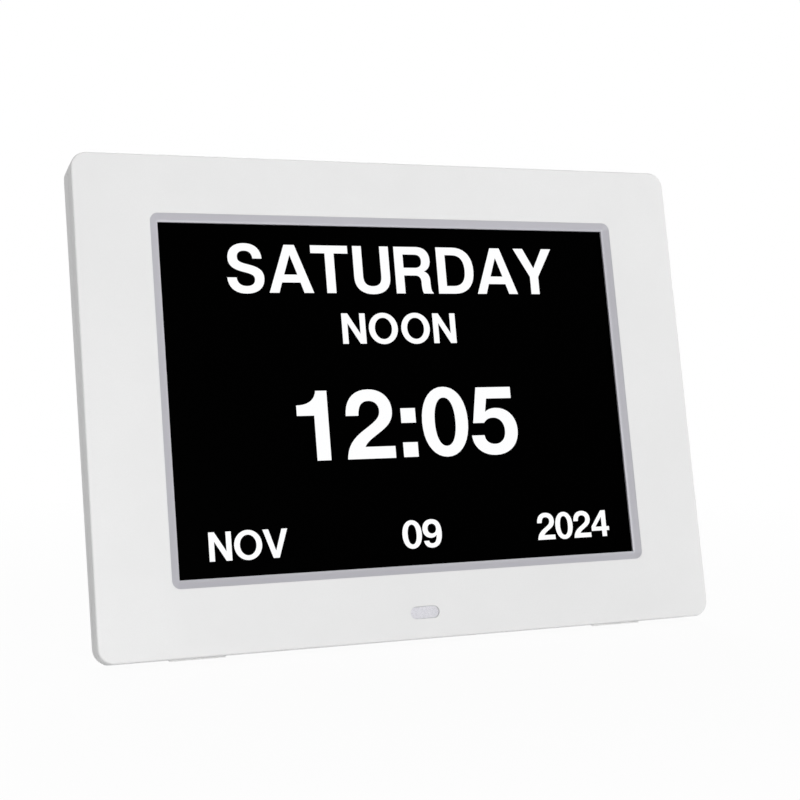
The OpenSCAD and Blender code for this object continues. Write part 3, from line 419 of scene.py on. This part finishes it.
def pulp_cone():
    """The loudspeaker's cone: dark paper with fibres that lie both ways, darker in the hollows
    between the fibres, partly the paper's own colour and partly painted shade.
    """
    s = Shader("cone")
    paper_and_hollow_shade, fibre = (0.012, 0.012, 0.012), (0.06, 0.058, 0.055)
    one_way = s.noise(size_mm=0.4, detail=4, place=s.stretched((1, 1, 6)))
    other_way = s.noise(size_mm=0.4, detail=4, place=s.stretched((6, 1, 1)))
    fibres = s.maths("MULTIPLY", one_way, other_way)
    # the hollows between the fibres take the darker colour: partly the paper's own, partly painted
    # shade
    body = s.blend(s.share(fibres, 0.15, 0.4), paper_and_hollow_shade, fibre)
    s.bump(fibres, strength=0.6, depth_mm=0.06)
    return s.finish(body, s.remap(fibres, 0.1, 0.5, 0.75, 0.9))


def flat_cable(name, colour):
    """A flat cable: parallel conductors under a glossy film."""
    s = Shader(name)
    ways = s.add("ShaderNodeTexWave", bands_direction="X")
    s.put(ways, Scale=1.0 / CABLE_PITCH / WAVE_BANDS, Distortion=0.0)
    s.link(s.place, ways.inputs["Vector"])
    dust = s.noise(size_mm=1.2, detail=4)
    conductor = s.share(ways.outputs["Fac"], 0.35, 0.65)
    lined = s.blend(conductor, lighter(colour, 0.7), lighter(colour, 1.1))
    dusty = s.blend(s.share(dust, 0.55, 0.75, most=0.3), lined, lighter(colour, 1.4))
    s.bump(ways.outputs["Fac"], strength=0.3, depth_mm=0.05)
    return s.finish(dusty, s.remap(dust, 0.3, 0.7, 0.3, 0.5))


FINISHES = {
    "case_white": moulded("case", (0.80, 0.80, 0.80)),
    # painted shade: the lip round the screen is given a grey, slightly blue colour that stands in
    # for the shade on its steep walls, and its edges are painted much lighter, partly as wear and
    # partly as a painted highlight
    "surround_silver": moulded("surround", (0.500, 0.494, 0.534), rough=0.36, grain_mm=0.22,
                               depth_mm=0.006, edge_mm=0.12, edge_wear_and_highlight=1.35),
    "window_plastic": frosted_window(),
    "screen_black": screen_glass(),
    "key_white": moulded("key", (0.76, 0.76, 0.76), rough=0.36, grain_mm=0.2, depth_mm=0.006),
    "foot_rubber": soft("foot_rubber", (0.86, 0.86, 0.85), Transmission_Weight=0.6),
    "screw_steel": metal("screw_steel", (0.60, 0.60, 0.62), rough=0.28),
    "sheet_steel": metal("sheet_steel", (0.66, 0.66, 0.68), rough=0.34, brush=(1, 12, 1)),
    "cell_steel": metal("cell_steel", (0.70, 0.70, 0.70), rough=0.22, grain_mm=0.3),
    "contact_metal": metal("contact_metal", (0.74, 0.64, 0.42), rough=0.2, brush=(20, 1, 1),
                           grain_mm=0.3),
    "board_green": circuit_board(),
    "dark_epoxy": moulded("dark_epoxy", (0.02, 0.02, 0.022), rough=0.6, grain_mm=0.12,
                          edge_mm=0.08, edge_wear_and_highlight=1.8),
    "black_plastic": moulded("black_plastic", (0.024, 0.024, 0.026), rough=0.45, grain_mm=0.25,
                             edge_mm=0.15, edge_wear_and_highlight=1.9),
    "connector_ivory": moulded("connector_ivory", (0.70, 0.66, 0.55), rough=0.4, grain_mm=0.25,
                               edge_mm=0.12),
    "ceramic_brown": moulded("ceramic", (0.30, 0.20, 0.12), rough=0.5, grain_mm=0.1,
                             edge_mm=0.06, mottle=0.1),
    "can_sleeve": moulded("can_sleeve", (0.04, 0.05, 0.07), rough=0.25, grain_mm=0.8,
                          depth_mm=0.02, edge_wear_and_highlight=1.6),
    "flex_amber": flat_cable("flex_amber", (0.50, 0.25, 0.05)),
    "cable_grey": flat_cable("cable_grey", (0.45, 0.45, 0.46)),
    "wire_red": moulded("wire_red", (0.50, 0.03, 0.03), rough=0.35, grain_mm=0.4, mottle=0.06),
    "diffuser_white": moulded("diffuser_white", (0.75, 0.75, 0.74), rough=0.6, grain_mm=0.15),
    "foam_black": soft("foam_black", (0.02, 0.02, 0.02), rough=0.92, grain_mm=0.4,
                       depth_mm=0.08),
    "cone_paper": pulp_cone(),
    "magnet_grey": soft("ferrite", (0.23, 0.23, 0.24), rough=0.6, grain_mm=0.3, depth_mm=0.02),
}
for part in frame["record"]["subparts"]:
    mesh = nodes[part["node"]].data
    mesh.materials.clear()
    mesh.materials.append(FINISHES[part["material_slot"]])


# ---------------------------------------------------------------------------------------------
# The case's two shells, with side walls that draw in towards the back and tighter corners
# ---------------------------------------------------------------------------------------------
WALL_DRAFT = math.tan(math.radians(2.5))
# how far behind the face the side walls begin to draw in
DRAFT_START = 1.5 * MM
# what lies further than this from the middle of the clock is part of a side wall
WALL_FROM_MIDDLE = 104.0 * MM
CAD_CORNER = 6.5 * MM
SEEN_CORNER = 5.3 * MM


def shaped_shell(name, node):
    """A copy of a shell, fitted to the outline that the photograph shows."""
    data = nodes[node].data.copy()
    for vertex in data.vertices:
        side = math.copysign(1.0, vertex.co.x)
        up = vertex.co.dot(UP)
        level = 1.0 if up > (face_low + face_high) / 2 else -1.0
        behind = face_out - vertex.co.dot(OUT) - DRAFT_START
        # how far the place lies past the middle of the nearest corner's arc
        past_side = abs(vertex.co.x) - (half_width - CAD_CORNER)
        past_level = max(up - face_high, face_low - up) + CAD_CORNER
        if abs(vertex.co.x) > WALL_FROM_MIDDLE and behind > 0:
            vertex.co.x -= side * behind * WALL_DRAFT
        if past_side >= 0 and past_level >= 0:
            reached = math.hypot(past_side, past_level)
            spare = CAD_CORNER - SEEN_CORNER
            vertex.co += ACROSS * side * spare * (1 - past_side / reached)
            vertex.co += UP * level * spare * (1 - past_level / reached)
    piece = in_scene(name, data)
    piece.matrix_world = nodes[node].matrix_world.copy()
    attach(piece, "root")
    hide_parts(node)


shaped_shell("case_front", "front_bezel")
shaped_shell("case_back", "rear_cover")


# ---------------------------------------------------------------------------------------------
# Flat shapes: characters and symbols
# ---------------------------------------------------------------------------------------------
CURVE_STEPS = 9
# points that are closer to each other than this, in metres, are one
SAME_POINT = 1e-7


def outline(points):
    """A closed outline. A point with two numbers is a corner, and one with six ends a curve."""
    line = []
    for p in points:
        if len(p) == 2:
            line.append(Vector(p))
            continue
        a, b, c, d = line[-1], Vector(p[0:2]), Vector(p[2:4]), Vector(p[4:6])
        for i in range(1, CURVE_STEPS + 1):
            t = i / CURVE_STEPS
            s = 1 - t
            line.append(a * s ** 3 + b * 3 * s * s * t + c * 3 * s * t * t + d * t ** 3)
    return line


def oval(cx, cy, rx, ry, square=0.56):
    """An oval, squarer than an ellipse where square is above 0.55."""
    kx, ky = rx * square, ry * square
    return [
        (cx, cy - ry),
        (cx + kx, cy - ry, cx + rx, cy - ky, cx + rx, cy),
        (cx + rx, cy + ky, cx + kx, cy + ry, cx, cy + ry),
        (cx - kx, cy + ry, cx - rx, cy + ky, cx - rx, cy),
        (cx - rx, cy - ky, cx - kx, cy - ry, cx, cy - ry),
    ]


# a capital is this high on the characters' grid
GRID_HIGH = 100
# each character's width and its outlines, of which the second is a hole in the first
GLYPHS = {
    "T": (80, [
        [(0, 100), (0, 83.5), (30.2, 83.5), (30.2, 0), (49.8, 0), (49.8, 83.5), (80, 83.5),
         (80, 100)],
    ]),
    "U": (79, [
        [(0, 100), (0, 34), (0, 11, 14.5, -2, 39.5, -2), (64.5, -2, 79, 11, 79, 34), (79, 100),
         (59.5, 100), (59.5, 36), (59.5, 21.5, 52.5, 15, 39.5, 15),
         (26.5, 15, 19.5, 21.5, 19.5, 36), (19.5, 100)],
    ]),
    "R": (83, [
        [(0, 0), (19.5, 0), (19.5, 38.5), (44, 38.5), (53, 38.5, 57.5, 34, 57.5, 23),
         (57.5, 13, 58, 5, 61, 0), (82.5, 0), (82.5, 2), (78, 4.5, 77.5, 13, 77.5, 25),
         (77.5, 39, 73, 44.5, 64.5, 47.5), (74, 51, 79.5, 59.5, 79.5, 71.5),
         (79.5, 89, 69, 100, 50, 100), (0, 100)],
        [(19.5, 55), (19.5, 83.5), (45, 83.5), (55, 83.5, 60, 79, 60, 69.5),
         (60, 60, 55, 55, 45, 55)],
    ]),
    "S": (76.5, [
        [(0, 31), (1.5, 8.5, 16, -2, 38.5, -2), (61.5, -2, 76.5, 9.5, 76.5, 30),
         (76.5, 45, 67.5, 52.5, 47, 57.5), (30, 61.5, 22.5, 63.5, 22.5, 73.5),
         (22.5, 82, 28.5, 86.5, 37.5, 86.5), (47.5, 86.5, 53.5, 81.5, 54.5, 70.5), (73.5, 70.5),
         (72.5, 91, 59.5, 102, 38, 102), (16, 102, 3, 90, 3, 71), (3, 55, 14, 48, 31, 43.5),
         (48.5, 39, 57, 37, 57, 28), (57, 18.5, 50.5, 13.5, 39.5, 13.5),
         (27.5, 13.5, 20, 19.5, 19.3, 31)],
    ]),
    "D": (83, [
        [(0, 0), (37, 0), (66, 0, 83, 18, 83, 50), (83, 82, 66, 100, 37, 100), (0, 100)],
        [(19.5, 16.5), (35, 16.5), (54, 16.5, 63, 28, 63, 50), (63, 72, 54, 83.5, 35, 83.5),
         (19.5, 83.5)],
    ]),
    "A": (94, [
        [(0, 0), (20.5, 0), (27.5, 21.5), (66.5, 21.5), (73.5, 0), (94, 0), (58, 100), (36, 100)],
        [(33, 38), (61, 38), (47, 79)],
    ]),
    "V": (90, [
        [(34, 0), (56, 0), (90, 100), (69, 100), (45, 25), (21, 100), (0, 100)],
    ]),
    "Y": (90, [
        [(35.2, 0), (54.8, 0), (54.8, 38), (90, 100), (67.5, 100), (45.2, 57), (22.5, 100),
         (0, 100), (35.2, 38)],
    ]),
    "N": (80, [
        [(0, 0), (19, 0), (19, 67.5), (59.5, 0), (80, 0), (80, 100), (61, 100), (61, 32.5),
         (20.5, 100), (0, 100)],
    ]),
    "O": (100, [
        oval(50, 50, 50, 52),
        oval(50, 50, 29.5, 35.5),
    ]),
    "K": (86, [
        [(0, 0), (19.5, 0), (19.5, 31), (31, 43), (60, 0), (84.5, 0), (44.5, 57), (82, 100),
         (57.5, 100), (19.5, 55), (19.5, 100), (0, 100)],
    ]),
    "0": (73, [
        oval(36.5, 50, 36.5, 52, 0.6),
        oval(36.5, 50, 16.5, 36, 0.62),
    ]),
    "1": (46, [
        [(25.5, 0), (46, 0), (46, 100), (29.5, 100), (28, 88, 19, 79.5, 0, 79.5), (0, 64.5),
         (25.5, 64.5)],
    ]),
    "2": (73, [
        [(0, 0), (73, 0), (73, 17.5), (27.5, 17.5), (31, 25, 40, 30.5, 50, 37.5),
         (64, 47, 72, 55, 72, 70), (72, 89, 57.5, 102, 37.5, 102),
         (14.5, 102, 1.5, 87.5, 1.5, 63.5), (20.5, 63.5), (21, 78, 26.5, 85, 37, 85),
         (46.5, 85, 52.5, 79, 52.5, 70), (52.5, 60, 45.5, 55, 33, 46), (13, 33, 1.5, 22, 0, 0)],
    ]),
    "4": (75, [
        [(44, 0), (63.5, 0), (63.5, 22.5), (75, 22.5), (75, 38), (63.5, 38), (63.5, 100),
         (43.5, 100), (0, 39.5), (0, 22.5), (44, 22.5)],
        [(17, 38), (44, 38), (44, 75)],
    ]),
    "5": (74, [
        [(12, 100), (3.5, 46.5), (21, 46.5), (24.5, 51.5, 29, 54, 36, 54),
         (46.5, 54, 53.5, 46, 53.5, 34), (53.5, 22, 46.5, 14.5, 36, 14.5),
         (27, 14.5, 21, 19, 20, 28), (0, 28), (1, 10, 15, -2, 36, -2),
         (58.5, -2, 74, 12.5, 74, 34.5), (74, 54.5, 60.5, 68.5, 41.5, 68.5),
         (34.5, 68.5, 29, 67, 24, 63), (27.5, 83), (67.5, 83), (67.5, 100)],
    ]),
    "9": (72, [
        [(3, 24), (4.5, 8, 16, -2, 33, -2), (58, -2, 72, 17, 72, 52),
         (72, 85, 59.5, 102, 35, 102), (14, 102, 0, 88, 0, 67), (0, 47.5, 13, 34, 31.5, 34),
         (40, 34, 47.5, 37.5, 52, 44.5), (51, 23, 45, 14, 34, 14), (27, 14, 23, 17.5, 22, 24)],
        oval(35.5, 67.5, 16, 18, 0.57),
    ]),
    ":": (23, [
        [(0, 0), (23, 0), (23, 21.5), (0, 21.5)],
        [(0, 50), (23, 50), (23, 71.5), (0, 71.5)],
    ]),
}
# the outlines of these are shapes of their own
SEPARATE = {":"}
# how much closer than usual the second character of a pair stands to the first
KERNING = {"SA": 3, "AT": 14, "TU": 1, "DA": 6, "AY": 15, "OV": 6, "NO": 1}


def flat_mesh(name, shapes, thick):
    """A thin closed plate from z = 0 to thick for each shape, [outline, hole, ...], in metres."""
    mesh = bmesh.new()
    for loops in shapes:
        corners = [p for loop in loops for p in loop]
        tiles = tessellate_polygon([[Vector((p.x, p.y, 0)) for p in loop] for loop in loops])
        back = [mesh.verts.new((p.x, p.y, 0)) for p in corners]
        front = [mesh.verts.new((p.x, p.y, thick)) for p in corners]
        for tile in tiles:
            mesh.faces.new([front[i] for i in tile])
            mesh.faces.new([back[i] for i in reversed(tile)])
        start = 0
        for loop in loops:
            for i in range(len(loop)):
                a, b = start + i, start + (i + 1) % len(loop)
                mesh.faces.new((back[a], back[b], front[b], front[a]))
            start += len(loop)
    bmesh.ops.recalc_face_normals(mesh, faces=mesh.faces)
    data = bpy.data.meshes.new(name)
    mesh.to_mesh(data)
    mesh.free()
    return in_scene(name, data)


def clean(loop):
    """A loop without repeated points."""
    return [p for i, p in enumerate(loop) if (p - loop[i - 1]).length > SAME_POINT]


def lettering(name, text, left, right, foot, top, gap, thick):
    """A word that is as wide as from left to right, with capitals as high as from foot to top.

    These four are in millimetres, the gap between characters in units of the characters' grid,
    and thick in metres. The word starts at its own origin.
    """
    scale_y = (top - foot) * MM / GRID_HIGH
    steps = [gap - KERNING.get(a + b, 0) for a, b in zip(text, text[1:])] + [0]
    total = sum(GLYPHS[c][0] for c in text) + sum(steps)
    scale_x = (right - left) * MM / total
    shapes, x = [], 0.0
    for c, step in zip(text, steps):
        width, loops = GLYPHS[c]
        placed = []
        for loop in loops:
            points = [Vector(((p.x + x) * scale_x, p.y * scale_y)) for p in outline(loop)]
            placed.append(clean(points))
        shapes += [[loop] for loop in placed] if c in SEPARATE else [placed]
        x += width + step
    return flat_mesh(name, shapes, thick)


# ---------------------------------------------------------------------------------------------
# What the display shows
# ---------------------------------------------------------------------------------------------
PIXEL_LAYER = 0.02 * MM
# name, text, left, right, foot and top in millimetres on the face, and the gap between
# characters on their grid
LINES = [
    ("shown_weekday", "SATURDAY", -58.6, 60.6, 115.7, 131.9, 12.0),
    ("shown_period", "NOON", -20.2, 21.2, 98.5, 108.8, 12.0),
    ("shown_hour_1", "1", -38.3, -27.5, 59.9, 82.9, 0.0),
    ("shown_hour_2", "2", -21.7, -4.6, 59.9, 82.6, 0.0),
    ("shown_colon", ":", -1.75, 3.55, 60.0, 83.0, 0.0),
    ("shown_minute_1", "0", 5.8, 22.7, 60.1, 83.0, 0.0),
    ("shown_minute_2", "5", 23.8, 41.2, 60.1, 83.0, 0.0),
    ("shown_month", "NOV", -70.6, -44.4, 29.3, 38.5, 10.0),
    ("shown_day", "09", -4.7, 9.5, 29.7, 38.8, 3.5),
    ("shown_year", "2024", 45.2, 73.1, 29.9, 38.9, 3.5),
]
glass_depth = (face_out - reach("display_glass", OUT)[1]) / MM
pixels = lit_pixels()
for name, text, left, right, foot, top, gap in LINES:
    piece = lettering(name, text, left, right, foot, top, gap, PIXEL_LAYER)
    piece.matrix_world = face_matrix(left, foot, glass_depth)
    piece.data.materials.append(pixels)
    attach(piece, "root")


# ---------------------------------------------------------------------------------------------
# Symbols on the keys, drawn in millimetres round each key's middle
# ---------------------------------------------------------------------------------------------
INK_THICK = 0.03 * MM
LINE_HALF = 0.2
ARROW_REACH = 1.5
MENU_REACH = 1.6
MENU_ROWS = (-1.0, 0.0, 1.0)
RING_INNER = 1.1
RING_OUTER = 1.5
# in degrees: where the ring starts, clockwise from the top, and how far it goes round
RING_START = 35
RING_TURN = 290
RING_STEPS = 28
STEM_FOOT = 0.1
STEM_TOP = 1.75
OK_REACH = 2.3
OK_RISE = 1.25
OK_GAP = 10


def arrow(angle):
    """A triangle with one corner at this angle, where 0 is to the right and 90 is up."""
    angles = [math.radians(angle + corner) for corner in (0, 120, 240)]
    return [Vector((ARROW_REACH * math.cos(a), ARROW_REACH * math.sin(a))) for a in angles]


def bar(left, right, foot, top):
    """A rectangle between these four sides."""
    return [Vector(corner) for corner in ((left, foot), (right, foot), (right, top), (left, top))]


def ring():
    """A ring that is open at the top."""
    angles = [math.radians(RING_START + RING_TURN * i / RING_STEPS) for i in range(RING_STEPS + 1)]
    outer = [Vector((RING_OUTER * math.sin(a), RING_OUTER * math.cos(a))) for a in angles]
    inner = [Vector((RING_INNER * math.sin(a), RING_INNER * math.cos(a))) for a in angles]
    return outer + inner[::-1]


SYMBOLS = {
    "key_power": [[ring()], [bar(-LINE_HALF, LINE_HALF, STEM_FOOT, STEM_TOP)]],
    "key_menu": [[bar(-MENU_REACH, MENU_REACH, y - LINE_HALF, y + LINE_HALF)] for y in MENU_ROWS],
    # these two are named by their place seen from the front, and seen from behind, where the
    # symbols are read, they point outwards
    "key_left": [[arrow(0)]],
    "key_right": [[arrow(180)]],
    "key_up": [[arrow(90)]],
    "key_down": [[arrow(270)]],
}
ink = moulded("key_print", (0.10, 0.10, 0.105), rough=0.5, grain_mm=0.15, depth_mm=0.004,
              edge_mm=0.03, mottle=0.08)


def print_on_key(key):
    """The key's symbol or word, in ink on the side that looks backwards."""
    low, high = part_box(key)
    middle = (low + high) / 2
    spot = middle - OUT * (middle.dot(OUT)) - OUT * reach(key, -OUT)[1]
    # a drawing that is read from behind has its x towards the clock's left
    turn = Matrix((-ACROSS, UP, -OUT)).transposed().to_4x4()
    if key == "key_ok":
        piece = lettering("print_ok", "OK", -OK_REACH, OK_REACH, -OK_RISE, OK_RISE, OK_GAP,
                          INK_THICK)
        shift = Matrix.Translation((-OK_REACH * MM, -OK_RISE * MM, 0))
    else:
        shapes = [[[p * MM for p in loop] for loop in loops] for loops in SYMBOLS[key]]
        piece = flat_mesh("print_" + key.removeprefix("key_"), shapes, INK_THICK)
        shift = Matrix.Identity(4)
    piece.matrix_world = Matrix.Translation(spot) @ turn @ shift
    piece.data.materials.append(ink)
    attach(piece, key)


# each key is a body of its own, which has the name of its node
for key in sorted(n for n, o in nodes.items() if o["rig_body"] == n):
    print_on_key(key)


# ---------------------------------------------------------------------------------------------
# Floor, backdrop and light, in metres
# ---------------------------------------------------------------------------------------------
FLOOR_HALF = 6.0
FLOOR_PAINT = (0.90, 0.90, 0.90, 1)
# the share of plain white in what is seen of the floor, which grows between two distances
WHITE_NEAR = 0.955
WHITE_FAR = 1.0
FADE_START = 0.10
FADE_END = 0.45
SKY_WHITE = (1, 1, 1, 1)
SKY_LIGHT = 0.34
# name, place, length of each side and watts
LAMPS = [
    ("front_lamp", (0.0, -3.0, 0.3), 1.2, 59.0),
    ("side_lamp", (2.2, -1.9, 1.8), 1.5, 12.0),
    ("rear_lamp", (0.6, 2.6, 1.8), 1.5, 41.0),
]
LAMPS_LOOK_AT = Vector((0, 0, 0.08))


def floor_material():
    """Pale floor. What the camera, mirrors and glass see is nearly white, and keeps the shadow."""
    material = bpy.data.materials.new("floor")
    tree = Tree(material)
    paint = tree.put(tree.add("ShaderNodeBsdfDiffuse"), Color=FLOOR_PAINT)
    white = tree.put(tree.add("ShaderNodeEmission"), Strength=1.0)
    away = tree.add("ShaderNodeVectorMath", operation="LENGTH")
    tree.link(tree.add("ShaderNodeTexCoord").outputs["Object"], away.inputs[0])
    fade = tree.remap(away.outputs["Value"], FADE_START, FADE_END, WHITE_NEAR, WHITE_FAR)
    mix = tree.add("ShaderNodeMixShader")
    tree.link(tree.maths("MULTIPLY", tree.seen(), fade), mix.inputs["Fac"])
    tree.link(paint.outputs["BSDF"], mix.inputs[1])
    tree.link(white.outputs["Emission"], mix.inputs[2])
    output = tree.add("ShaderNodeOutputMaterial")
    tree.link(mix.outputs["Shader"], output.inputs["Surface"])
    return material


def lay_floor():
    """A square floor under the clock."""
    corners = [(x * FLOOR_HALF, y * FLOOR_HALF, 0) for x, y in ((-1, -1), (1, -1), (1, 1), (-1, 1))]
    data = bpy.data.meshes.new("floor")
    data.from_pydata(corners, [], [(0, 1, 2, 3)])
    data.materials.append(floor_material())
    floor = in_scene("floor", data)


def light_sky():
    """White where the camera, mirrors and glass see it, and a weaker light on the object."""
    world = bpy.data.worlds.new("studio")
    bpy.context.scene.world = world
    tree = Tree(world)
    strength = tree.remap(tree.seen(), 0.0, 1.0, SKY_LIGHT, 1.0)
    sky = tree.put(tree.add("ShaderNodeBackground"), Color=SKY_WHITE)
    tree.link(strength, sky.inputs["Strength"])
    output = tree.add("ShaderNodeOutputWorld")
    tree.link(sky.outputs["Background"], output.inputs["Surface"])


def hang_lamp(name, place, size, watts):
    """A square area lamp that looks at the clock's middle."""
    data = bpy.data.lights.new(name, "AREA")
    data.shape = "SQUARE"
    data.size = size
    data.energy = watts
    spot = Vector(place)
    turn = (spot - LAMPS_LOOK_AT).to_track_quat("Z", "Y").to_matrix().to_4x4()
    lamp = in_scene(name, data)
    lamp.matrix_world = Matrix.Translation(spot) @ turn


lay_floor()
light_sky()
for name, place, size, watts in LAMPS:
    hang_lamp(name, place, size, watts)

bpy.context.scene.view_settings.view_transform = "Standard"
